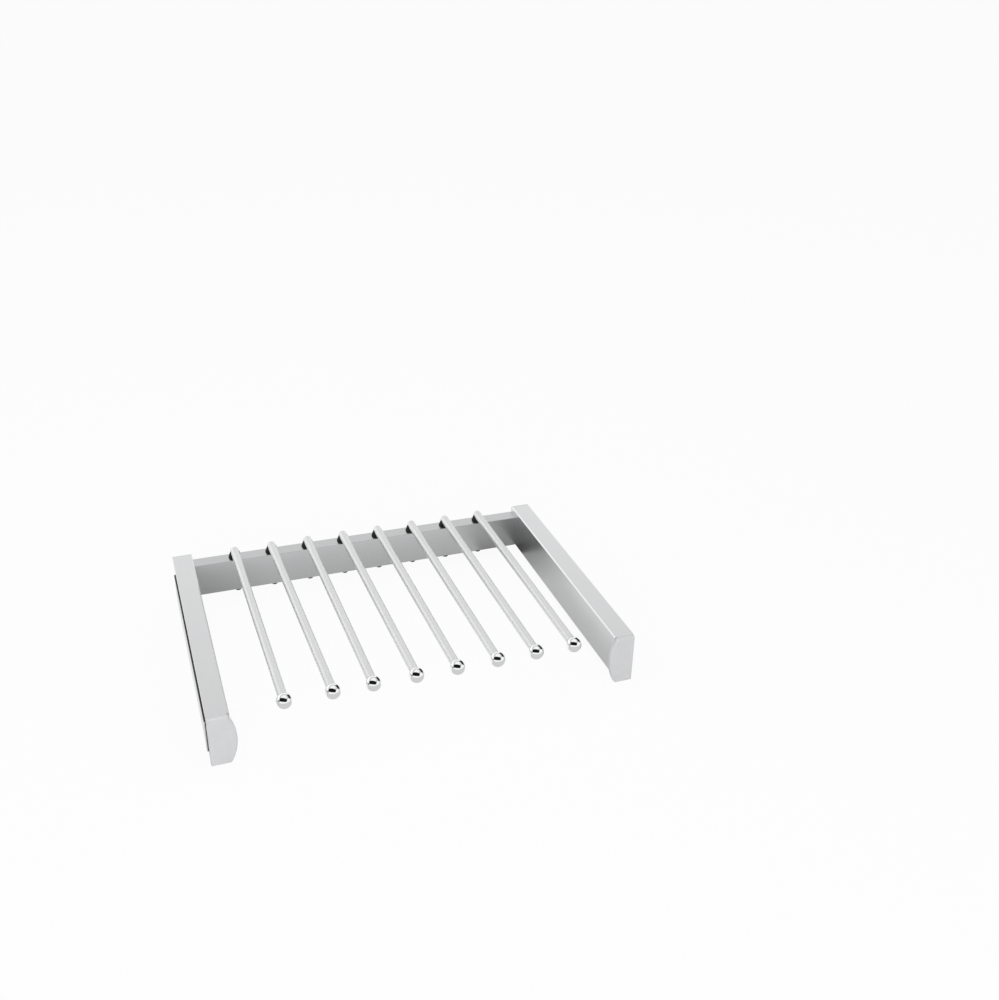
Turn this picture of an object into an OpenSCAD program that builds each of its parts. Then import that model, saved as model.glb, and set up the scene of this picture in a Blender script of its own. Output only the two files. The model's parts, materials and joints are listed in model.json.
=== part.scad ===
// Pull-out trouser rack for a wardrobe: a frame of two aluminium side profiles
// and a crossbar carries eight ball-tipped arms and runs out of the cabinet on
// a pair of full-extension ball-bearing slides.
//
// Millimetres. X runs across the cabinet from its middle, -Y is the front and
// +Z is up. The origin is midway between the two slides, on the line of their
// cabinet screws and halfway between the front and the rear screw. The rack is
// drawn pushed in.

/* [Cabinet and frame] */
// Clear width between the cabinet sides
opening_w = 564; // [540:1:900]
// Gap between a side profile and the cabinet side
side_gap = 2.2; // [1:0.1:4]
// Length of a side profile
profile_len = 388; // [376:1:450]
// Width of a side profile
profile_w = 27.8; // [26:0.2:36]
// Height of a side profile
profile_h = 60; // [56:1:80]
// Wall of a side profile
profile_wall = 1.8; // [1.4:0.1:2.4]
// Bevel along the inner edges of a side profile
profile_bevel = 1.6; // [0.8:0.1:2]
// Bevel along the outer edges of a side profile
outer_bevel = 0.4; // [0.2:0.1:1]

/* [Crossbar] */
// Depth of the crossbar, front to back
bar_d = 22; // [20:0.5:30]
// Height of the crossbar
bar_h = 50; // [40:1:52]
// Wall of the crossbar
bar_wall = 1.8; // [1.4:0.1:2.4]
// Outer corner radius of the crossbar
bar_corner_r = 0.6; // [0.3:0.1:1.6]
// Height of the crossbar's underside above that of the profiles
bar_rise = 1; // [0:0.5:4]

/* [Arms] */
// Distance from a side profile to the nearest arm
arm_margin = 61.25; // [50:0.25:80]
// Distance from an arm's clamp screw to the centre of its ball tip
arm_reach = 376; // [300:1:390]
// Outside diameter of an arm
arm_d = 12; // [10:0.5:14]
// Wall of an arm's tube
arm_wall = 1.2; // [1:0.1:1.6]
// Diameter of a ball tip
ball_d = 20; // [18:0.5:26]
// Distance from a clamp screw to the rear end of the arm's tube
arm_tail = 5; // [4:0.5:7]
// Height of the domed end of an arm
dome_h = 2.5; // [1.5:0.5:4]
// Diameter of a clamp screw
clamp_screw_d = 5; // [4:0.5:6]

/* [Arm holders] */
// Diameter of a holder at its foot
holder_d = 20; // [18:0.5:20]
// Thickness of a holder under the arm
holder_seat = 2; // [1:0.1:3]
// Thickness of a holder's cheeks beside the arm
holder_cheek = 1.2; // [0.8:0.1:2]
// Distance from a holder's flat side to the arm's wall
holder_flat = 0.8; // [0.5:0.1:3]

/* [Front and rear caps] */
// Thickness of a front cap
cap_t = 6; // [5:0.5:9]
// How far a front cap bulges inward as a finger grip
cap_bulge = 9.5; // [6:0.5:14]
// How far a front cap hangs below its profile
cap_drop = 11; // [4:0.5:16]
// Rounding of a front cap's front edge
cap_edge_r = 2.2; // [1:0.1:2.6]
// Corner radius at the ends of the finger grip
cap_corner_r = 4; // [3:0.5:6]
// Corner radius at a front cap's outer corners
cap_outer_r = 2.5; // [1:0.1:3]
// Thickness of a rear cap
rear_cap_t = 2; // [1.5:0.5:4]
// How deep the caps' plugs reach into the profiles
plug_len = 14; // [8:1:20]

/* [Slides] */
// Length of a slide, pushed in
slide_len = 350; // [340:1:360]
// Height of a slide
slide_h = 45; // [42:0.5:46]
// Thickness of a slide
slide_t = 12.7; // [12.5:0.1:14]
// Sheet thickness of the slide members
sheet_t = 1.2; // [1:0.1:1.3]
// Room between two nested members for a row of balls
row_gap = 3.4; // [3:0.1:3.8]
// Distance between the two cabinet screws of a slide
screw_pitch = 256; // [240:1:262]
// Distance from a slide's front end to its first cabinet screw
first_screw = 37; // [35:1:44]
// Diameter of the cabinet screw holes
screw_hole_d = 4.5; // [4:0.1:5]
// Balls in one row
row_balls = 7; // [4:1:8]
// Distance from ball to ball
ball_step = 18; // [12:1:20]
// Distance from a slide's ends to the first and last screws of its inner member
drawer_screw_inset = 70; // [60:1:90]

/* [Hidden] */
ARMS = 8;

$fn = 64;
eps = 0.01;          // overshoot of a cut through a face
fit_gap = 0.1;       // gap round a piece pressed or laid into its seat
run_gap = 0.1;       // gap between a ball and its groove
free_gap = 0.3;      // gap between a piece and the stop it rests near

// Planes across the rack, measured outward from the middle
slide_face = opening_w / 2;
profile_face = slide_face - side_gap;
profile_in = profile_face - profile_w;
web_face = slide_face - slide_t;
chamber_in = profile_in + profile_wall;
chamber_out = web_face - profile_wall;
chamber_w = chamber_out - chamber_in;

// Planes along the rack
slide_front = -(screw_pitch / 2 + first_screw);
slide_rear = slide_front + slide_len;
profile_front = slide_front - 1;
profile_rear = profile_front + profile_len;
rack_rear = profile_rear + rear_cap_t;
bar_front = rack_rear - bar_d;
clamp_y = rack_rear - bar_d / 2;

// Heights
profile_bottom = -profile_h / 2;
bar_bottom = profile_bottom + bar_rise;
bar_top = bar_bottom + bar_h;
arm_z = bar_top + holder_seat + arm_d / 2;
cap_h = profile_h + cap_drop;
cap_mid = profile_h / 2 - cap_h / 2;

// Slide sections: s is measured inward from the slide's outer face
pocket_h = slide_h + 2;
outer_flange = slide_h / 2 - sheet_t;            // inside of the cabinet member's flange
middle_flange = outer_flange - row_gap;          // outside of the middle member's flange
inner_gap_top = middle_flange - sheet_t;         // inside of the middle member's flange
drawer_flange = inner_gap_top - row_gap;         // outside of the drawer member's flange
outer_row = outer_flange - row_gap / 2;
inner_row = inner_gap_top - row_gap / 2;
member_lip = slide_t - 1.5;                      // the two outer members stop here
middle_web = 2;                                  // s of the middle member's web
drawer_tip = 4.2;                                // s of the drawer member's flange ends
row_s = (drawer_tip + member_lip) / 2 - 0.4;     // s of the ball rows
groove_depth = 0.35;
ball_r = row_gap / 2 + groove_depth - run_gap;
cage_t = 1.4;
cage_web = 0.4;
cage_reach = 2.8;                                // cage width each side of its balls
cage_end = 8;                                    // cage beyond its first and last ball
cage_len = (row_balls - 1) * ball_step + 2 * cage_end;
bumper_t = 6;
runner_len = slide_len - bumper_t - free_gap;
access_hole_d = 9;
bend_r = 1.6;                                    // outside radius of the sheet's bends
slide_mid = slide_front + slide_len / 2;

// Fixings
slide_screw_y = [slide_front + drawer_screw_inset, slide_mid, slide_rear - drawer_screw_inset];
slide_screw_d = 4;
slide_screw_head = [7, 1.8];                     // diameter, height
corner_screw_z = [bar_bottom + bar_h * 0.28, bar_bottom + bar_h * 0.72];
corner_screw_y = rack_rear - bar_d / 2;
corner_screw_d = 6;
corner_screw_len = 22;                           // reach into the corner block
corner_screw_head = [10, 5];
corner_block_len = 36;
corner_block_bore = [8, 10];                     // depth, height of the hollow through it
clamp_head = [8.5, 5];
washer = [10, 1];                                // diameter, thickness
boss_d = 8;
boss_len = bar_wall + 1;

// Arms, evenly spread, each set a little out of square on its clamp screw
arm_pitch = 2 * (profile_in - arm_margin) / (ARMS - 1);
function arm_x(i) = (i - (ARMS + 1) / 2) * arm_pitch;
arm_swing = [0.7, 1.5, 0.95, 1.1, 1.0, 0.95, 0.75, 0.55];
tube_in = arm_d / 2 - arm_wall;
ball_seat = sqrt(pow(ball_d / 2, 2) - pow(arm_d / 2, 2));   // ball centre to tube end
screw_tip = arm_z + arm_d / 4;                   // the clamp screws reach this height
spigot_len = 14;
end_plug_len = 16;

// ---- shared shapes ----

module on_side(side) {
    if (side == "left") mirror([1, 0, 0]) children();
    else children();
}

// A section drawn in X and Z, run forward from a rear plane
module run_forward(rear, length)
    translate([0, rear, 0]) rotate([90, 0, 0]) linear_extrude(length) children();

// A section drawn in Y and Z, run along X from x0
module run_across(x0, length)
    translate([x0, 0, 0]) rotate([90, 0, 90]) linear_extrude(length) children();

module rounded_rect(w, h, r) {
    translate([r, 0]) square([w - 2 * r, h]);
    translate([0, r]) square([w, h - 2 * r]);
    for (x = [r, w - r], y = [r, h - r]) translate([x, y]) circle(r);
}

// Cylinder along X from x0, centred on y and z
module rod_x(x0, length, d, y, z)
    translate([x0, y, z]) rotate([0, 90, 0]) cylinder(h = length, d = d);

// ---- side profile: extruded aluminium with a pocket for the slide ----

module profile_outline() {
    b = profile_bevel;
    o = outer_bevel;
    h = profile_h / 2;
    polygon([[profile_in + b, -h], [profile_face - o, -h], [profile_face, -h + o],
             [profile_face, h - o], [profile_face - o, h], [profile_in + b, h],
             [profile_in, h - b], [profile_in, -h + b]]);
}

module slide_pocket()
    translate([web_face, -pocket_h / 2]) square([slide_t, pocket_h]);

module main_chamber(gap = 0)
    translate([chamber_in + gap, -profile_h / 2 + profile_wall + gap])
        square([chamber_w - 2 * gap, profile_h - 2 * profile_wall - 2 * gap]);

// The flat hollows above and below the pocket
module lip_chambers() {
    floor_z = pocket_h / 2 + profile_wall;
    for (m = [0, 1]) mirror([0, m])
        translate([web_face, floor_z])
            square([profile_w - (web_face - profile_in) - profile_wall,
                    profile_h / 2 - profile_wall - floor_z]);
}

module profile_section()
    difference() {
        profile_outline();
        slide_pocket();
        main_chamber();
        lip_chambers();
    }

module side_profile(side)
    color("silver") on_side(side) difference() {
        run_forward(profile_rear, profile_len) profile_section();
        for (z = corner_screw_z) {
            rod_x(profile_in - eps, profile_wall + 2 * eps, corner_screw_d + 0.4, corner_screw_y, z);
            rod_x(chamber_out - eps, profile_wall + 2 * eps,
                  corner_screw_head[0] + 2, corner_screw_y, z);
        }
        for (y = slide_screw_y)
            rod_x(chamber_out - eps, profile_wall + 2 * eps, slide_screw_d + 2 * fit_gap, y, 0);
    }

// ---- caps ----

// Front cap: a plate with a D-shaped inner side that serves as a finger grip
cap_chord = profile_in + 3;
cap_tip = cap_chord - cap_bulge;
cap_round = (pow(cap_h / 2, 2) + pow(cap_bulge, 2)) / (2 * cap_bulge);
grip_wall = 2;                                   // wall of the hollow behind the grip
grip_rib = 1.5;

// Where a corner radius r meets both the grip's arc and the cap's top or bottom edge
function corner_x(r, inset) =
    cap_tip + cap_round - sqrt(pow(cap_round - inset - r, 2) - pow(cap_h / 2 - inset - r, 2));

// A round plate of radius r and thickness t whose front edge is rounded
module round_plate(r, t, edge, fn)
    rotate([90, 0, 0]) rotate_extrude($fn = fn) intersection() {
        square([r, t]);
        union() {
            square([r - edge, t]);
            square([r, t - edge]);
            translate([r - edge, t - edge]) circle(edge, $fn = 48);
        }
    }

module cap_disc(r, t, edge)
    translate([cap_tip + cap_round, profile_front, cap_mid]) round_plate(r, t, edge, 180);

// Blocks that trim the disc, rounded along their front edges
module cap_height_block(inset, t, edge)
    run_across(cap_tip - profile_w, 3 * profile_w)
        translate([profile_front - t, cap_mid - cap_h / 2 + inset])
            difference() {
                rounded_rect(t + edge, cap_h - 2 * inset, edge);
                translate([t, -1]) square([edge + 1, cap_h + 2]);
            }

module cap_width_block(inset, t, edge)
    translate([0, 0, cap_mid - cap_h]) linear_extrude(2 * cap_h)
        translate([cap_tip - profile_w, profile_front - t]) {
            w = profile_face - inset - cap_tip + profile_w;
            translate([0, edge]) square([w, t - edge]);
            square([w - edge, t]);
            translate([w - edge, edge]) circle(edge);
        }

// What a corner radius takes away at the upper end of the grip
module grip_corner(inset, t, edge) {
    r = cap_corner_r;
    x = corner_x(r, inset);
    z = cap_h / 2 - inset - r;
    away = [x - cap_tip - cap_round, z] / (cap_round - inset - r) * 3 * r;
    translate([0, 0, cap_mid]) difference() {
        run_forward(profile_front + 1, t + 2)
            polygon([[x, z], [x + away[0], z + away[1]], [x + away[0], z + 3 * r], [x, z + 3 * r]]);
        translate([x, profile_front + 1, z]) round_plate(r, t + 1, edge, 64);
    }
}

// What the corner radius takes away at the upper outer corner
module outer_corner(t) {
    r = cap_outer_r;
    translate([profile_face - r, profile_front + 1, cap_mid + cap_h / 2 - r]) rotate([90, 0, 0])
        linear_extrude(t + 2) difference() {
            square(2 * r);
            circle(r);
        }
}

module cap_shape(inset, t, edge)
    difference() {
        intersection() {
            cap_disc(cap_round - inset, t, edge);
            cap_height_block(inset, t, edge);
            cap_width_block(inset, t, edge);
        }
        for (m = [0, 1]) translate([0, 0, cap_mid]) mirror([0, 0, m]) translate([0, 0, -cap_mid]) {
            grip_corner(inset, t, edge);
            if (inset == 0) outer_corner(t);
        }
    }

// Tubular plug that holds a cap in the profile's main chamber
module cap_plug(y0, length)
    run_forward(y0 + length, length) difference() {
        main_chamber(fit_gap);
        main_chamber(fit_gap + 1.6);
    }

module front_cap(side)
    color("gainsboro") on_side(side) {
        difference() {
            cap_shape(0, cap_t, cap_edge_r);
            // hollow behind the grip, clear of the profile's end and crossed by ribs
            difference() {
                translate([0, eps, 0]) cap_shape(grip_wall, cap_t - grip_wall, 0.4);
                run_forward(profile_front + 1, cap_t + 2)
                    translate([profile_in - 1, -profile_h / 2 - grip_rib])
                        square([profile_w + 2, profile_h + 2 * grip_rib]);
                for (z = [-cap_h / 4, 0, cap_h / 4])
                    translate([cap_tip, profile_front - cap_t, cap_mid + z - grip_rib / 2])
                        cube([cap_chord - cap_tip, cap_t + 1, grip_rib]);
            }
        }
        cap_plug(profile_front, plug_len);
    }

module rear_cap(side)
    color("gainsboro") on_side(side) {
        run_forward(rack_rear, rear_cap_t) difference() {
            profile_outline();
            slide_pocket();
        }
        cap_plug(profile_rear - 3, 3);
    }

// ---- crossbar and its corner blocks ----

module bar_section(gap = 0)
    translate([bar_front + gap, bar_bottom + gap])
        rounded_rect(bar_d - 2 * gap, bar_h - 2 * gap, bar_corner_r);

module bar_cavity(gap = 0)
    translate([bar_front + bar_wall + gap, bar_bottom + bar_wall + gap])
        square([bar_d - 2 * bar_wall - 2 * gap, bar_h - 2 * bar_wall - 2 * gap]);

module crossbar()
    color("darkgray") difference() {
        run_across(-profile_in, 2 * profile_in) difference() {
            bar_section();
            bar_cavity();
        }
        for (i = [1 : ARMS]) translate([arm_x(i), clamp_y, 0]) {
            translate([0, 0, bar_top - bar_wall - eps])
                cylinder(h = bar_wall + 2 * eps, d = boss_d + 2 * fit_gap);
            translate([0, 0, bar_bottom - eps])
                cylinder(h = bar_wall + 2 * eps, d = clamp_screw_d + 0.5);
        }
    }

module corner_block(side)
    color("dimgray") on_side(side) difference() {
        run_across(profile_in - corner_block_len, corner_block_len) difference() {
            bar_cavity(fit_gap);
            translate([bar_front + bar_d / 2, bar_bottom + bar_h / 2])
                square(corner_block_bore, center = true);
        }
        for (z = corner_screw_z)
            rod_x(chamber_in - corner_screw_len - 1, corner_screw_len + 1,
                  corner_screw_d + 2 * fit_gap, corner_screw_y, z);
    }

module corner_screws()
    color("lightsteelblue") for (side = ["left", "right"], z = corner_screw_z) on_side(side)
        difference() {
            union() {
                rod_x(chamber_in, corner_screw_head[1], corner_screw_head[0], corner_screw_y, z);
                rod_x(chamber_in - corner_screw_len, corner_screw_len + eps,
                      corner_screw_d, corner_screw_y, z);
            }
            translate([chamber_in + corner_screw_head[1] - 3, corner_screw_y, z])
                rotate([0, 90, 0]) cylinder(h = 4, d = 5.7, $fn = 6);
        }

// ---- arms: each stands on a holder and is clamped by a screw through the bar ----

module at_arm(i)
    translate([arm_x(i), clamp_y, 0]) rotate([0, 0, arm_swing[i - 1]]) children();

// Cylinder along Y, from y0 forward
module rod_y(y0, length, d, z)
    translate([0, y0, z]) rotate([90, 0, 0]) cylinder(h = length, d = d);

module arm(i)
    color("silver") at_arm(i) difference() {
        rod_y(arm_tail, arm_tail + arm_reach - ball_seat, arm_d, arm_z);
        rod_y(arm_tail + eps, arm_tail + arm_reach, 2 * tube_in, arm_z);
        translate([0, 0, arm_z - arm_d / 2 - 1])
            cylinder(h = arm_d / 2, d = clamp_screw_d + 0.5);
    }

module arm_end_plugs()
    color("silver") for (i = [1 : ARMS]) at_arm(i) difference() {
        union() {
            rod_y(arm_tail, end_plug_len, 2 * (tube_in - fit_gap), arm_z);
            // shallow dome: the cap of a sphere that meets the tube's rim
            dome_r = (pow(arm_d / 2, 2) + pow(dome_h, 2)) / (2 * dome_h);
            intersection() {
                translate([0, arm_tail + dome_h - dome_r, arm_z]) sphere(dome_r);
                rod_y(arm_tail + dome_h + 1, dome_h + 1, arm_d, arm_z);
            }
        }
        translate([0, 0, arm_z - arm_d])
            cylinder(h = screw_tip + 0.5 - arm_z + arm_d, d = clamp_screw_d + 2 * fit_gap);
    }

module ball_tip(i)
    color("white") at_arm(i) {
        intersection() {
            translate([0, -arm_reach, arm_z]) sphere(d = ball_d);
            rod_y(-arm_reach + ball_seat, ball_seat + ball_d, ball_d + 1, arm_z);
        }
        rod_y(-arm_reach + ball_seat + spigot_len, spigot_len + eps, 2 * (tube_in - fit_gap), arm_z);
    }

// Holder: a round saddle with sloping flanks and a boss that centres it in the bar
module arm_holder(i)
    color("black") at_arm(i) difference() {
        translate([0, 0, bar_top]) rotate_extrude()
            polygon([[0, -boss_len], [boss_d / 2, -boss_len], [boss_d / 2, 0], [holder_d / 2, 0],
                     [holder_d / 2, 0.8], [arm_d / 2 + holder_cheek, holder_seat + arm_d / 2],
                     [0, holder_seat + arm_d / 2]]);
        translate([arm_d / 2 + holder_flat, -holder_d / 2, bar_top])
            cube([holder_d, holder_d, holder_seat + arm_d]);
        rod_y(holder_d, 2 * holder_d, arm_d + fit_gap, arm_z);
        translate([0, 0, bar_top - boss_len - 1])
            cylinder(h = boss_len + holder_seat + 3, d = clamp_screw_d + 0.4);
    }

module clamp_screws()
    color("dimgray") for (i = [1 : ARMS]) at_arm(i)
        translate([0, 0, bar_bottom - washer[1]]) difference() {
            union() {
                cylinder(h = screw_tip - bar_bottom + washer[1], d = clamp_screw_d);
                translate([0, 0, -clamp_head[1]]) cylinder(h = clamp_head[1], d = clamp_head[0]);
            }
            translate([0, 0, -clamp_head[1] - 1]) cylinder(h = 3.6, d = 4.6, $fn = 6);
        }

module clamp_washers()
    color("dimgray") for (i = [1 : ARMS]) at_arm(i)
        translate([0, 0, bar_bottom - washer[1]]) difference() {
            cylinder(h = washer[1], d = washer[0]);
            translate([0, 0, -eps]) cylinder(h = washer[1] + 2 * eps, d = clamp_screw_d + 0.3);
        }

// ---- slides ----

// A bent channel with its web's outer face at x = 0, open towards +x
module channel(depth, v)
    difference() {
        intersection() {
            translate([0, -v]) rounded_rect(2 * depth, 2 * v, bend_r);
            translate([0, -v]) square([depth, 2 * v]);
        }
        translate([sheet_t, -v + sheet_t])
            rounded_rect(2 * depth, 2 * (v - sheet_t), bend_r - sheet_t);
    }

// Section of a slide member: a channel whose web's outer face lies at web_s, with
// flanges out to v and as far as tip_s. Grooves for the ball rows are cut at the
// heights in rows. Drawn with the slide's outer face at x = 0 and s towards -x.
module member_section(web_s, tip_s, v, rows)
    difference() {
        translate([-web_s, 0]) mirror([web_s < tip_s ? 1 : 0, 0]) channel(abs(tip_s - web_s), v);
        for (r = rows, m = [-1, 1])
            translate([-row_s, m * r]) circle(ball_r + run_gap);
    }

module member(section_rear, length)
    translate([slide_face, 0, 0]) run_forward(section_rear, length) children();

module web_hole(y, d, s)
    rod_x(slide_face - s - sheet_t - 0.2, sheet_t + 0.4, d, y, 0);

module cabinet_member(side)
    color("dimgray") on_side(side) difference() {
        member(slide_rear, slide_len)
            member_section(0, member_lip, slide_h / 2, [outer_row]);
        for (m = [-1, 1]) web_hole(m * screw_pitch / 2, screw_hole_d, 0);
    }

module middle_member(side)
    color("lightsteelblue") on_side(side) difference() {
        member(slide_front + runner_len, runner_len)
            member_section(middle_web, member_lip, middle_flange, [outer_row, inner_row]);
        for (m = [-1, 1]) web_hole(m * screw_pitch / 2, access_hole_d, middle_web);
    }

module drawer_member(side)
    color("lightsteelblue") on_side(side) difference() {
        member(slide_front + runner_len, runner_len)
            member_section(slide_t, drawer_tip, drawer_flange, [inner_row]);
        for (m = [-1, 1]) web_hole(m * screw_pitch / 2, access_hole_d, slide_t - sheet_t);
        for (y = slide_screw_y) web_hole(y, slide_screw_d + 2 * fit_gap, slide_t - sheet_t);
    }

module ball_places(row)
    for (k = [0 : row_balls - 1], m = [-1, 1])
        translate([slide_face - row_s, slide_mid + (k - (row_balls - 1) / 2) * ball_step, m * row])
            children();

module ball_cage(side, row, web_s)
    color("gainsboro") on_side(side) difference() {
        member(slide_mid + cage_len / 2, cage_len) difference() {
            v = row + cage_t / 2;
            translate([-row_s - cage_reach, -v]) square([row_s + cage_reach - web_s, 2 * v]);
            translate([-row_s - cage_reach - 1, -v + cage_t])
                square([row_s + cage_reach + 1 - web_s - cage_web, 2 * (v - cage_t)]);
        }
        ball_places(row) cylinder(h = 2 * cage_t, r = ball_r + run_gap, center = true);
        // windows in the web, one between each two balls
        for (k = [1 : row_balls - 1])
            translate([slide_face - web_s - cage_web - 0.5, 0, 0])
                translate([0, slide_mid + (k - row_balls / 2) * ball_step - ball_step / 4, -row / 2])
                    cube([cage_web + 1, ball_step / 2, row]);
    }

module balls(side, row)
    color("white") on_side(side) ball_places(row) sphere(ball_r, $fn = 32);

module rear_bumper(side)
    color("black") on_side(side)
        translate([slide_face - member_lip, slide_rear - bumper_t, -slide_h / 3])
            cube([member_lip - sheet_t, bumper_t, slide_h * 2 / 3]);

module slide_screws()
    color("lightsteelblue") for (side = ["left", "right"], y = slide_screw_y) on_side(side) {
        rod_x(web_face + sheet_t, slide_screw_head[1], slide_screw_head[0], y, 0);
        rod_x(web_face - profile_wall - 2, profile_wall + sheet_t + 2 + eps, slide_screw_d, y, 0);
    }

// ---- nodes ----

cabinet_member("left");  // left_cabinet_member
cabinet_member("right");  // right_cabinet_member
middle_member("left");  // left_middle_member
middle_member("right");  // right_middle_member
drawer_member("left");  // left_drawer_member
drawer_member("right");  // right_drawer_member
ball_cage("left", outer_row, sheet_t + 0.2);  // left_outer_ball_cage
ball_cage("right", outer_row, sheet_t + 0.2);  // right_outer_ball_cage
ball_cage("left", inner_row, middle_web + sheet_t + 0.3);  // left_inner_ball_cage
ball_cage("right", inner_row, middle_web + sheet_t + 0.3);  // right_inner_ball_cage
balls("left", outer_row);  // left_outer_balls
balls("right", outer_row);  // right_outer_balls
balls("left", inner_row);  // left_inner_balls
balls("right", inner_row);  // right_inner_balls
rear_bumper("left");  // left_rear_bumper
rear_bumper("right");  // right_rear_bumper
side_profile("left");  // left_side_profile
side_profile("right");  // right_side_profile
front_cap("left");  // left_front_cap
front_cap("right");  // right_front_cap
rear_cap("left");  // left_rear_cap
rear_cap("right");  // right_rear_cap
corner_block("left");  // left_corner_block
corner_block("right");  // right_corner_block
crossbar();
slide_screws();
corner_screws();
clamp_screws();
clamp_washers();
for (i = [1 : ARMS]) {
    arm(i);
    arm_holder(i);
    ball_tip(i);
}
arm_end_plugs();
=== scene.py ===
import json
import math

import bmesh
import bpy
from mathutils import Euler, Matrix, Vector


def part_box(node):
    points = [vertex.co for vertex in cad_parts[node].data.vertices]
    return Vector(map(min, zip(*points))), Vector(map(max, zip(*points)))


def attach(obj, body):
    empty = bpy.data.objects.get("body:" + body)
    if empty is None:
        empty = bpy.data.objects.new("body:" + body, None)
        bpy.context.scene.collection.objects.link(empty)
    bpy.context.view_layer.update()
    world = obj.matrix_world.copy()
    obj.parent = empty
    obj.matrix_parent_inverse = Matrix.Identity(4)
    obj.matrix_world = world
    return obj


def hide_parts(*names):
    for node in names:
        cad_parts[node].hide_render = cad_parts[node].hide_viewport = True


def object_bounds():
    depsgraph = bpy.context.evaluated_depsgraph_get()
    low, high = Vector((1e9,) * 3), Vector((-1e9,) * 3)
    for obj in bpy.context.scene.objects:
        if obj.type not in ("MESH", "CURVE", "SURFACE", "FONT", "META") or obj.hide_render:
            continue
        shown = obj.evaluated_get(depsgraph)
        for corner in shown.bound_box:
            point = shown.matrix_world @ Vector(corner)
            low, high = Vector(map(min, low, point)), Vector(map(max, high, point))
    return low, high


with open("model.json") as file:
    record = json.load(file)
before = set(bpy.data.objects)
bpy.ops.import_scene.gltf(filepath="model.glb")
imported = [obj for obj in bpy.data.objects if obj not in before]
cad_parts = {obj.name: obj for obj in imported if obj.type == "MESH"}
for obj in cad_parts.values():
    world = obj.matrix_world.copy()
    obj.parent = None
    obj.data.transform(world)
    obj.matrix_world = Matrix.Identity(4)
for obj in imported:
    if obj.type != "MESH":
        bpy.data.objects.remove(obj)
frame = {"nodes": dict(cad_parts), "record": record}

cad_lo, cad_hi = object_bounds()
MM = 0.001

# ---- camera ----

EYE_AT = (-0.3315, -1.2618, 0.8710)
EYE_TURN = (62.52, -1.38, -20.02)

eye = bpy.data.objects.new("eye", bpy.data.cameras.new("eye"))
bpy.context.collection.objects.link(eye)
eye.location = EYE_AT
eye.rotation_euler = Euler([math.radians(a) for a in EYE_TURN], "XYZ")
eye.data.lens = 40.16
eye.data.sensor_width = 36
eye.data.clip_start, eye.data.clip_end = 0.05, 60
bpy.context.scene.camera = eye
bpy.context.scene.view_settings.view_transform = "Standard"


# ---- material building ----

class Wire:
    """A socket that can be used in sums; each sum adds a Math node to its finish."""

    def __init__(self, finish, socket):
        self.finish, self.socket = finish, socket

    def sum(self, operation, *terms):
        return self.finish.add("ShaderNodeMath", {"operation": operation}, dict(enumerate(terms)))

    def __add__(self, other): return self.sum("ADD", self, other)
    def __radd__(self, other): return self.sum("ADD", other, self)
    def __sub__(self, other): return self.sum("SUBTRACT", self, other)
    def __rsub__(self, other): return self.sum("SUBTRACT", other, self)
    def __mul__(self, other): return self.sum("MULTIPLY", self, other)
    def __rmul__(self, other): return self.sum("MULTIPLY", other, self)
    def __truediv__(self, other): return self.sum("DIVIDE", self, other)
    def __abs__(self): return self.sum("ABSOLUTE", self)
    def above(self, limit): return self.sum("GREATER_THAN", self, limit)
    def least(self, other): return self.sum("MINIMUM", self, other)
    def most(self, other): return self.sum("MAXIMUM", self, other)


class Finish:
    """One node material. Its patterns are laid out in millimetres along the rack's own axes."""

    def __init__(self, name):
        self.material = bpy.data.materials.new(name)
        self.material.use_nodes = True
        self.nodes = self.material.node_tree.nodes
        self.links = self.material.node_tree.links
        self.nodes.clear()

    def add(self, kind, settings=None, inputs=None, out=0):
        node = self.nodes.new(kind)
        for key, value in (settings or {}).items():
            if key == "stops":
                ramp = node.color_ramp
                while len(ramp.elements) < len(value):
                    ramp.elements.new(0.5)
                for stop, (at, colour) in zip(ramp.elements, value):
                    stop.position, stop.color = at, (*colour, 1)
            else:
                setattr(node, key, value)
        for key, value in (inputs or {}).items():
            if isinstance(value, Wire):
                self.links.new(value.socket, node.inputs[key])
            else:
                node.inputs[key].default_value = value
        return None if out is None else Wire(self, node.outputs[out])

    def place(self, stretch=(1, 1, 1)):
        """Object position in millimetres; a stretch under 1 draws a pattern out along its axis."""
        where = self.add("ShaderNodeTexCoord", out="Object")
        return self.add("ShaderNodeVectorMath", {"operation": "MULTIPLY"},
                        {0: where, 1: [share / MM for share in stretch]})

    def grain(self, scale, stretch=(1, 1, 1), detail=2.0, rough=0.5):
        """Noise from 0 to 1 with features about 1 / scale millimetres across."""
        return self.add("ShaderNodeTexNoise", {},
                        {"Vector": self.place(stretch), "Scale": scale, "Detail": detail,
                         "Roughness": rough})

    def tint(self, share, dark, light):
        """A colour between dark and light."""
        return self.add("ShaderNodeMix", {"data_type": "RGBA"},
                        {"Factor": share, 6: (*dark, 1), 7: (*light, 1)}, out=2)

    def relief(self, height, depth_mm, onto=None):
        """Bumps depth_mm deep, on top of the normals of onto where those are given."""
        inputs = {"Height": height, "Distance": depth_mm * MM, "Strength": 1.0}
        if onto is not None:
            inputs["Normal"] = onto
        return self.add("ShaderNodeBump", {}, inputs)

    def surface(self, **inputs):
        """The finished material; metallic, base_color and so on are the shader's own sockets."""
        names = {key.replace("_", " ").title().replace("Ior", "IOR"): value
                 for key, value in inputs.items()}
        shader = self.add("ShaderNodeBsdfPrincipled", {}, names)
        return self.close(shader)

    def close(self, shader):
        self.add("ShaderNodeOutputMaterial", {}, {"Surface": shader}, out=None)
        return self.material


class Tent(Finish):
    """The nodes of the world round the stage."""

    def __init__(self, world):
        world.use_nodes = True
        self.nodes, self.links = world.node_tree.nodes, world.node_tree.links
        self.nodes.clear()


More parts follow.
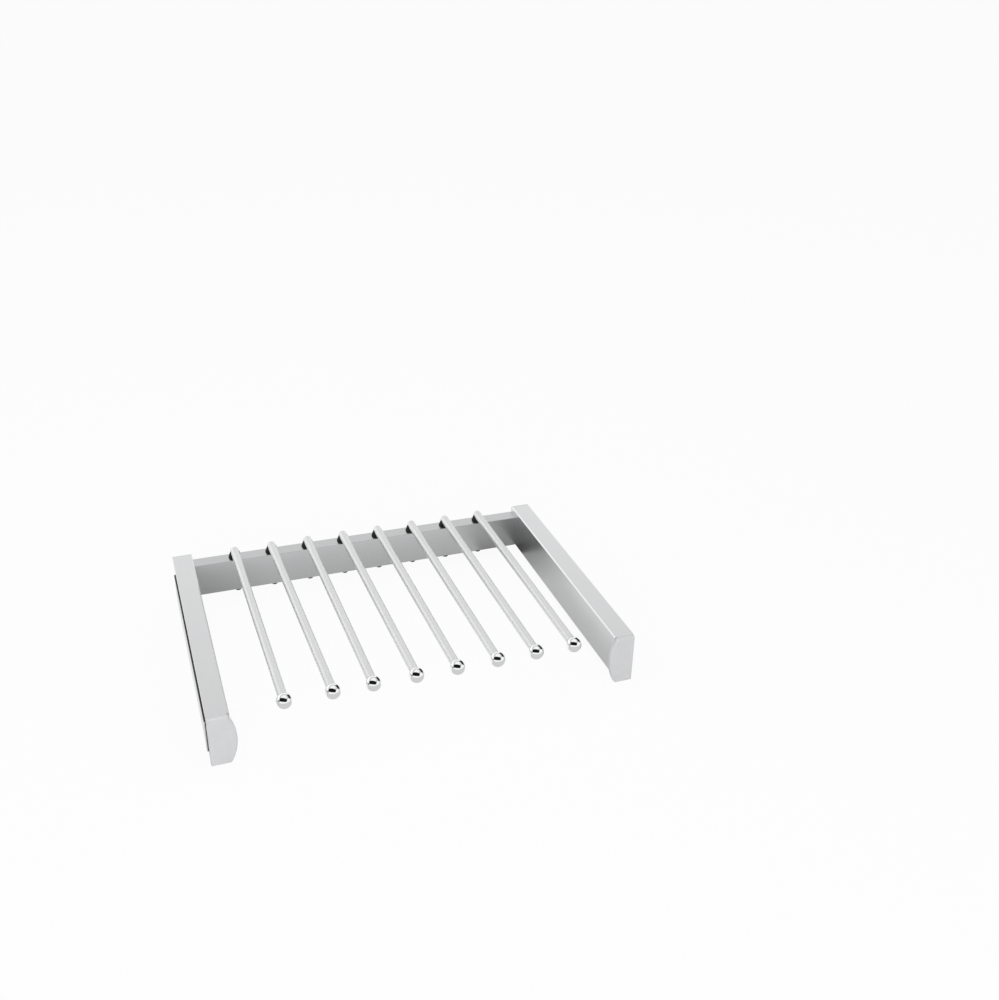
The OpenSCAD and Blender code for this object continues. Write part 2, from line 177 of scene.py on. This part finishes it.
def shades(colour, low, high=1.0):
    """A darker and a lighter colour, as shares of one colour."""
    return [c * low for c in colour], [min(1, c * high) for c in colour]


# ---- finishes ----

def extruded(name, along, colour, roughness):
    """Satin anodised aluminium with faint die lines along one axis."""
    f = Finish(name)
    drawn_out = [0.004 if axis == along else 1 for axis in "XYZ"]
    lines = f.grain(2.2, drawn_out, detail=3.0, rough=0.6)
    satin = f.grain(6.0)
    cloud = f.grain(0.02)
    speck = f.grain(0.9, detail=3.0, rough=0.7)
    pattern = lines * 0.35 + cloud * 0.25 + speck * 0.4
    return f.surface(base_color=f.tint(pattern, *shades(colour, 0.92, 1.07)), metallic=1.0,
                     roughness=roughness + (lines - 0.5) * 0.10 + (cloud - 0.5) * 0.06,
                     normal=f.relief(satin, 0.004, f.relief(lines, 0.006)))


def drawn_tube(name, colour, roughness):
    """Satin drawn tube with fine lengthwise drawing marks under a hazy plating."""
    f = Finish(name)
    marks = f.grain(0.7, (1, 0.006, 1), rough=0.6)
    cloud = f.grain(0.05, (1, 0.2, 1))
    pattern = marks * 0.5 + cloud * 0.5
    return f.surface(base_color=f.tint(pattern, *shades(colour, 0.95, 1.04)), metallic=0.75,
                     roughness=roughness + (marks - 0.5) * 0.08 + (cloud - 0.5) * 0.05,
                     normal=f.relief(marks, 0.0008))


def chromed(name, colour, roughness, haze_share=0.02):
    """Bright plating; with no haze share it is a true mirror."""
    f = Finish(name)
    ripple = f.grain(0.25, detail=1.0)
    haze = f.grain(1.5, detail=3.0)
    return f.surface(base_color=f.tint(haze, *shades(colour, 0.985)), metallic=1.0,
                     roughness=roughness + haze * haze_share if haze_share else roughness,
                     normal=f.relief(ripple, 0.003))


def lacquered(name, colour):
    """Plastic under a silver lacquer full of fine flakes."""
    f = Finish(name)
    flakes = f.add("ShaderNodeTexVoronoi", {}, {"Vector": f.place(), "Scale": 5.0}, out="Distance")
    sparkle = f.grain(9.0, detail=1.0)
    cloud = f.grain(0.08)
    pattern = sparkle * 0.5 + cloud * 0.5
    return f.surface(base_color=f.tint(pattern, *shades(colour, 0.93, 1.05)), metallic=0.35,
                     roughness=0.38 + (sparkle - 0.5) * 0.12, coat_weight=0.15, coat_roughness=0.2,
                     normal=f.relief(flakes, 0.006))


def moulded(name, colour, roughness, grain_mm=0.35, depth_mm=0.02):
    """Moulded plastic or rubber with a spark-eroded grain."""
    f = Finish(name)
    pits = f.grain(1 / grain_mm, detail=3.0, rough=0.6)
    cloud = f.grain(0.1)
    return f.surface(base_color=f.tint(cloud, *shades(colour, 0.8, 1.25)),
                     roughness=roughness + (pits - 0.5) * 0.2,
                     specular_ior_level=0.3, normal=f.relief(pits, depth_mm))


def coated_steel(name, colour, roughness, peel_mm=0.01, bare_ends=False):
    """Sheet steel under a thin dark coating; the sheared ends of a strip stay bare."""
    f = Finish(name)
    peel = f.grain(0.5, detail=1.0)
    cloud = f.grain(0.05, (1, 0.3, 1), detail=3.0)
    coat = f.tint(cloud, *shades(colour, 0.8, 1.3))
    shine = roughness + (cloud - 0.5) * roughness * 0.4
    relief = f.relief(peel, peel_mm)
    if not bare_ends:
        return f.surface(base_color=coat, roughness=shine, normal=relief)
    facing = f.add("ShaderNodeNewGeometry", out="Normal")
    along_strip = f.add("ShaderNodeSeparateXYZ", {}, {0: facing}, out="Y")
    bare = abs(along_strip).above(0.7)
    shorn = f.grain(1.5, (1, 1, 0.2))
    steel = f.tint(shorn, (0.62, 0.64, 0.67), (0.74, 0.76, 0.79))
    colours = f.add("ShaderNodeMix", {"data_type": "RGBA"},
                    {"Factor": bare, 6: coat, 7: steel}, out=2)
    return f.surface(base_color=colours, metallic=bare, roughness=shine + bare * 0.3,
                     specular_ior_level=0.2, normal=relief)


def zinc_plated(name, colour, roughness):
    """Blue-passivated zinc: cool steel with faint warm and cool clouds."""
    f = Finish(name)
    cloud = f.grain(0.06, (1, 0.4, 1), detail=4.0, rough=0.6)
    rolled = f.grain(3.0, (1, 0.02, 1))
    warm = (colour[0] * 1.03, colour[1], colour[2] * 0.93)
    return f.surface(base_color=f.tint(cloud, colour, warm), metallic=1.0,
                     roughness=roughness + (cloud - 0.5) * 0.16 + (rolled - 0.5) * 0.06,
                     normal=f.relief(rolled, 0.004))


FINISHES = {
    "anodised_aluminium": extruded("anodised_profile", "Y", (0.80, 0.805, 0.81), 0.34),
    "silver_plastic": lacquered("silver_lacquer", (0.71, 0.712, 0.72)),
    "polished_tube": drawn_tube("bright_tube", (0.80, 0.803, 0.806), 0.42),
    "chrome_ball": chromed("ball_chrome", (0.92, 0.925, 0.93), 0.0, haze_share=0),
    "black_plastic": moulded("holder_black", (0.006, 0.006, 0.0065), 0.6),
    "dark_fastener": coated_steel("black_oxide", (0.05, 0.05, 0.053), 0.38),
    "zinc_fastener": zinc_plated("bright_zinc", (0.66, 0.69, 0.74), 0.26),
    "cast_zinc": zinc_plated("cast_zinc", (0.52, 0.54, 0.57), 0.45),
    "black_steel": coated_steel("black_coating", (0.008, 0.008, 0.009), 0.08, peel_mm=0.001,
                                bare_ends=True),
    "zinc_steel": zinc_plated("blue_zinc", (0.62, 0.67, 0.74), 0.27),
    "cage_steel": zinc_plated("cage_steel", (0.58, 0.59, 0.60), 0.33),
    "ball_steel": chromed("ball_steel", (0.80, 0.80, 0.81), 0.08),
    "bumper_rubber": moulded("bumper_rubber", (0.03, 0.03, 0.03), 0.75, grain_mm=0.5,
                             depth_mm=0.04),
}
crossbar_finish = extruded("anodised_crossbar", "X", (0.62, 0.625, 0.63), 0.30)

slot_of = {row["node"]: row["material_slot"] for row in frame["record"]["subparts"]}
for name, node in frame["nodes"].items():
    finish = crossbar_finish if name == "crossbar" else FINISHES[slot_of[name]]
    for slot in node.material_slots:
        slot.material = finish

# ---- slide screws: pan heads with a cross recess, on threaded shanks ----

TURN_STEPS = 72          # points round a screw
HEAD_STEPS = 26          # rings across its head
THREAD_STEPS = 6         # rings in one turn of its thread
DOME_POWER = 4           # 2 would be a round dome; more is flatter in the middle
RECESS_SHARE = 0.8       # most of the head's height that the recess may take
RECESS_DEPTH, RECESS_SPAN, RECESS_WIDTH, RECESS_FLANK = 1.2 * MM, 4.4 * MM, 1.0 * MM, 0.34 * MM
THREAD_PITCH, THREAD_DEPTH = 0.7 * MM, 0.22 * MM
TIP_SHARE, TIP_TAPER = 0.45, 4    # the tip's share of the shank, and how fast it is reached


def islands(mesh):
    """The separate solids of a mesh, as lists of points."""
    bm = bmesh.new()
    bm.from_mesh(mesh)
    bmesh.ops.remove_doubles(bm, verts=bm.verts, dist=0.01 * MM)
    seen, found = set(), []
    for start in bm.verts:
        if start in seen:
            continue
        seen.add(start)
        open_ends, group = [start], []
        while open_ends:
            vert = open_ends.pop()
            group.append(vert.co.copy())
            for edge in vert.link_edges:
                other = edge.other_vert(vert)
                if other not in seen:
                    seen.add(other)
                    open_ends.append(other)
        found.append(group)
    bm.free()
    return found


def recess_depth(u, v):
    """How far the cross recess lies below the head at (u, v)."""
    def slot(across, along):
        wall = min(1, max(0, (RECESS_WIDTH / 2 - abs(across)) / RECESS_FLANK + 0.5))
        return wall * min(1, max(0, (RECESS_SPAN / 2 - abs(along)) / (0.3 * RECESS_SPAN)))
    return RECESS_DEPTH * max(slot(u, v), slot(v, u))


def join_rings(bm, rings):
    """Faces between each ring of points and the next."""
    for near, far in zip(rings, rings[1:]):
        for i in range(len(near)):
            j = (i + 1) % len(near)
            bm.faces.new((near[i], near[j], far[j], far[i]))


def pan_screw(bm, top, under, tip, out, head_r, shank_r):
    """A screw along X.

    The middle of its head is at top, the head's flat side at x = under and the shank's end at
    x = tip; out is the way that the head points.
    """
    head_h = abs(top.x - under)
    shank_len = abs(under - tip)

    def ring(x, radius, sink=0.0, thread=None):
        made = []
        for i in range(TURN_STEPS):
            turn = i / TURN_STEPS
            r = radius
            if thread is not None:
                phase = (thread / THREAD_PITCH + turn) % 1
                r -= THREAD_DEPTH * (1 - abs(2 * phase - 1))
            u, v = r * math.cos(math.tau * turn), r * math.sin(math.tau * turn)
            below = min(recess_depth(u, v), sink) if sink else 0.0
            made.append(bm.verts.new((x - out * below, top.y + u, top.z + v)))
        return made

    rings = []
    for k in range(1, HEAD_STEPS + 1):
        share = k / HEAD_STEPS
        crown = head_h * (1 - share ** DOME_POWER) ** 0.5
        rings.append(ring(under + out * crown, head_r * share, crown * RECESS_SHARE))
    rings.append(ring(under, shank_r))
    rows = int(shank_len / THREAD_PITCH * THREAD_STEPS)
    for k in range(1, rows + 1):
        along = shank_len * k / rows
        taper = min(1, (1 - k / rows) * TIP_TAPER + TIP_SHARE)
        rings.append(ring(under - out * along, shank_r * taper, thread=along))
    join_rings(bm, rings)
    for end, x in ((rings[0], top.x - out * min(recess_depth(0, 0), head_h)), (rings[-1], tip)):
        middle = bm.verts.new((x, top.y, top.z))
        for i in range(TURN_STEPS):
            bm.faces.new((middle, end[i], end[(i + 1) % TURN_STEPS]))


def slide_screws(name):
    """A detailed screw in the place of each plain one, with its size."""
    bm = bmesh.new()
    for points in islands(frame["nodes"]["slide_screws"].data):
        low, high = [Vector([pick(p[k] for p in points) for k in range(3)]) for pick in (min, max)]
        axis = (low + high) / 2
        out = math.copysign(1, axis.x)
        outer, inner = (high.x, low.x) if out > 0 else (low.x, high.x)
        head_r = (high.y - low.y) / 2
        radius = [math.hypot(p.y - axis.y, p.z - axis.z) for p in points]
        under = min(p.x * out for p, r in zip(points, radius) if r > 0.95 * head_r) * out
        shank_r = max(r for p, r in zip(points, radius) if abs(p.x - inner) < 0.1 * MM)
        pan_screw(bm, Vector((outer, axis.y, axis.z)), under, inner, out, head_r, shank_r)
    bmesh.ops.recalc_face_normals(bm, faces=bm.faces)
    mesh = bpy.data.meshes.new(name)
    bm.to_mesh(mesh)
    bm.free()
    mesh.materials.append(FINISHES["zinc_fastener"])
    mesh.shade_smooth()
    mesh.set_sharp_from_angle(angle=math.radians(40))
    screws = bpy.data.objects.new(name, mesh)
    bpy.context.collection.objects.link(screws)
    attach(screws, "rack")
    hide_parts("slide_screws")


slide_screws("slide_screw_set")

# ---- studio ----

FLOOR_Z = cad_lo.z - 0.5 * MM
FLOOR_HALF = 40
CARD_LIFT = 0.4 * MM
WHITE = (1, 1, 1, 1)


def staged(name, corners, material):
    """A flat sheet through four corners, for the studio and not attached to the part."""
    mesh = bpy.data.meshes.new(name)
    bm = bmesh.new()
    bm.faces.new([bm.verts.new(corner) for corner in corners])
    bm.to_mesh(mesh)
    bm.free()
    mesh.materials.append(material)
    sheet = bpy.data.objects.new(name, mesh)
    bpy.context.collection.objects.link(sheet)
    return sheet


def paper(name, albedo, glow):
    """Pale paper that shows as white where a ray from the lens or a reflection meets it."""
    f = Finish(name)
    seen = f.add("ShaderNodeLightPath", out="Is Camera Ray").most(
        f.add("ShaderNodeLightPath", out="Is Glossy Ray")).most(
        f.add("ShaderNodeLightPath", out="Is Transmission Ray"))
    fibre = f.grain(0.8, detail=3.0)
    tone = f.tint(fibre, *shades([albedo] * 3, 0.99))
    matt = f.add("ShaderNodeBsdfDiffuse", {}, {"Color": tone})
    white = f.add("ShaderNodeEmission", {}, {"Color": WHITE, "Strength": 1.0})
    return f.close(f.add("ShaderNodeMixShader", {}, {0: seen * glow, 1: matt, 2: white}))


def flag_cloth(name, level, mirrored, fade, in_corner):
    """Grey cloth; a true mirror shows it at the mirrored level, satin metal at the level.

    Each (axis, from, to, share) in fade dims it to a share of its level, which is painted shade
    towards the rack's corners. in_corner is the share that is left where one part shows it in the
    reflection of another, which is painted shade in the corners between parts.
    """
    f = Finish(name)
    weave = f.grain(0.3, detail=2.0)
    bright = 0.985 + weave * 0.03
    where = f.add("ShaderNodeTexCoord", out="Object")
    # painted shade: each fade darkens the card towards an edge by the crossbar or a rail
    for axis, full, dim, share in fade:
        along = f.add("ShaderNodeSeparateXYZ", {}, {0: where}, out=axis)
        dimmed = ((along - full) / (dim - full)).most(0).least(1)
        bright = bright * (1 - dimmed * (1 - share))
    sharp = f.add("ShaderNodeLightPath", out="Is Singular Ray")
    shown = bright * (level + sharp * (mirrored - level))
    # painted shade: the card shows darker in a reflection of a reflection, standing in for the
    # shade in corners between parts
    if in_corner < 1:
        bounces = f.add("ShaderNodeLightPath", out="Ray Depth")
        shown = shown * (1 - bounces.above(1.5) * (1 - in_corner))
    return f.close(f.add("ShaderNodeEmission", {}, {"Color": shown, "Strength": 1.0}))


def flag(name, corners, level, mirrored=None, fade=(), in_corner=1):
    """A grey card that only reflections meet; it gives the metal something to show."""
    mirrored = level if mirrored is None else mirrored
    card = staged(name, corners, flag_cloth(name + "_cloth", level, mirrored, fade, in_corner))
    card.visible_camera = card.visible_diffuse = card.visible_shadow = False
    card.visible_transmission = card.visible_volume_scatter = False


def facing_card(azimuth, elevation, distance, wide, high, roll=0):
    """Corners of a card that faces the rack; azimuth 0 lies behind it and 90 to its right."""
    a, e, t = math.radians(azimuth), math.radians(elevation), math.radians(roll)
    out = Vector((math.sin(a) * math.cos(e), math.cos(a) * math.cos(e), math.sin(e)))
    across = Vector((math.cos(a), -math.sin(a), 0))
    up = across.cross(out)
    x = across * math.cos(t) + up * math.sin(t)
    y = up * math.cos(t) - across * math.sin(t)
    return [out * distance + x * sx * wide / 2 + y * sy * high / 2
            for sx, sy in ((-1, -1), (1, -1), (1, 1), (-1, 1))]


def level_card(x0, x1, y0, y1, z):
    """Corners of a card that lies flat at z."""
    return [Vector(c) for c in ((x0, y0, z), (x1, y0, z), (x1, y1, z), (x0, y1, z))]


def upright_card(x0, x1, y, z0, z1):
    """Corners of a card that stands across the rack at y."""
    return [Vector(c) for c in ((x0, y, z0), (x1, y, z0), (x1, y, z1), (x0, y, z1))]


staged("floor", level_card(-FLOOR_HALF, FLOOR_HALF, -FLOOR_HALF, FLOOR_HALF, FLOOR_Z),
       paper("floor_paper", 0.90, 0.93))
card_z = FLOOR_Z + CARD_LIFT
# painted shadow: darker grey sheets on the floor under and beside the rack, seen only in
# reflections, stand in for the rack's shadow on the floor
flag("strip_before_bar", level_card(-0.252, 0.197, 0.088, 0.2, card_z), 0.72,
     fade=[("X", -0.13, -0.25, 0.60), ("Y", 0.10, 0.20, 0.80)], in_corner=0.35)
flag("strip_beside_rail", level_card(0.197, 0.281, -0.17, 0.2, card_z), 0.56,
     fade=[("Y", 0.10, 0.168, 0.60)], in_corner=0.35)
flag("table_in_front", level_card(-1.4, 1.4, -3.0, -0.13, card_z), 0.66)

bar_lo, bar_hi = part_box("crossbar")
bar_back = bar_hi.y - 1 * MM
flag("shade_under_bar", upright_card(0.13, 0.252, bar_back, card_z, bar_lo.z), 0.05)
flag("shade_below_bar", level_card(0.13, 0.252, 0.192, bar_back, card_z + CARD_LIFT), 0.05)

flag("room_behind_lens", facing_card(208, 47, 2.6, 7.0, 2.5), 0.35, mirrored=0.01)
flag("gap_beside_light", facing_card(66, 21, 3.0, 2.9, 2.3, roll=-12), 0.75, mirrored=0.02)
flag("stand_at_left", facing_card(268, 8, 2.6, 1.4, 0.5), 0.05)
flag("bright_panel", facing_card(325, 17, 3.0, 1.7, 1.0), 1.35)

world = bpy.data.worlds.new("tent")
bpy.context.scene.world = world
tent = Tent(world)
lens_ray = tent.add("ShaderNodeLightPath", out="Is Camera Ray")
mirror_ray = tent.add("ShaderNodeLightPath", out="Is Glossy Ray").most(
    tent.add("ShaderNodeLightPath", out="Is Transmission Ray"))
direction = tent.add("ShaderNodeTexCoord", out="Generated")
tent_height = tent.add("ShaderNodeSeparateXYZ", {}, {0: direction}, out="Z")
wall_levels = ((0.0, 1), (0.52, 1), (0.63, 0.58), (0.76, 0.64), (0.90, 1))
tent_wall = tent.add("ShaderNodeValToRGB",
                     {"stops": [(height, [level] * 3) for height, level in wall_levels]},
                     {0: tent_height})
fill = tent.add("ShaderNodeBackground", {}, {"Color": (0.98, 0.99, 1.0, 1), "Strength": 0.55})
walls = tent.add("ShaderNodeBackground", {}, {"Color": tent_wall, "Strength": 1.0})
white = tent.add("ShaderNodeBackground", {}, {"Color": WHITE, "Strength": 1.0})
lit = tent.add("ShaderNodeMixShader", {}, {0: mirror_ray, 1: fill, 2: walls})
seen = tent.add("ShaderNodeMixShader", {}, {0: lens_ray, 1: lit, 2: white})
tent.add("ShaderNodeOutputWorld", {}, {"Surface": seen}, out=None)


def softbox(name, at, size, power):
    """A lamp that points at the middle of the rack and stays out of its reflections."""
    lamp = bpy.data.lights.new(name, "AREA")
    lamp.shape = "RECTANGLE"
    lamp.size, lamp.size_y = size
    lamp.energy = power
    box = bpy.data.objects.new(name, lamp)
    bpy.context.collection.objects.link(box)
    box.location = at
    box.rotation_euler = (-Vector(at)).to_track_quat("-Z", "Y").to_euler()
    box.visible_glossy = False


softbox("overhead", (-0.3, 0.5, 2.2), (2.4, 2.0), 13)
softbox("front_fill", (-0.6, -2.65, 1.0), (1.6, 1.4), 34)
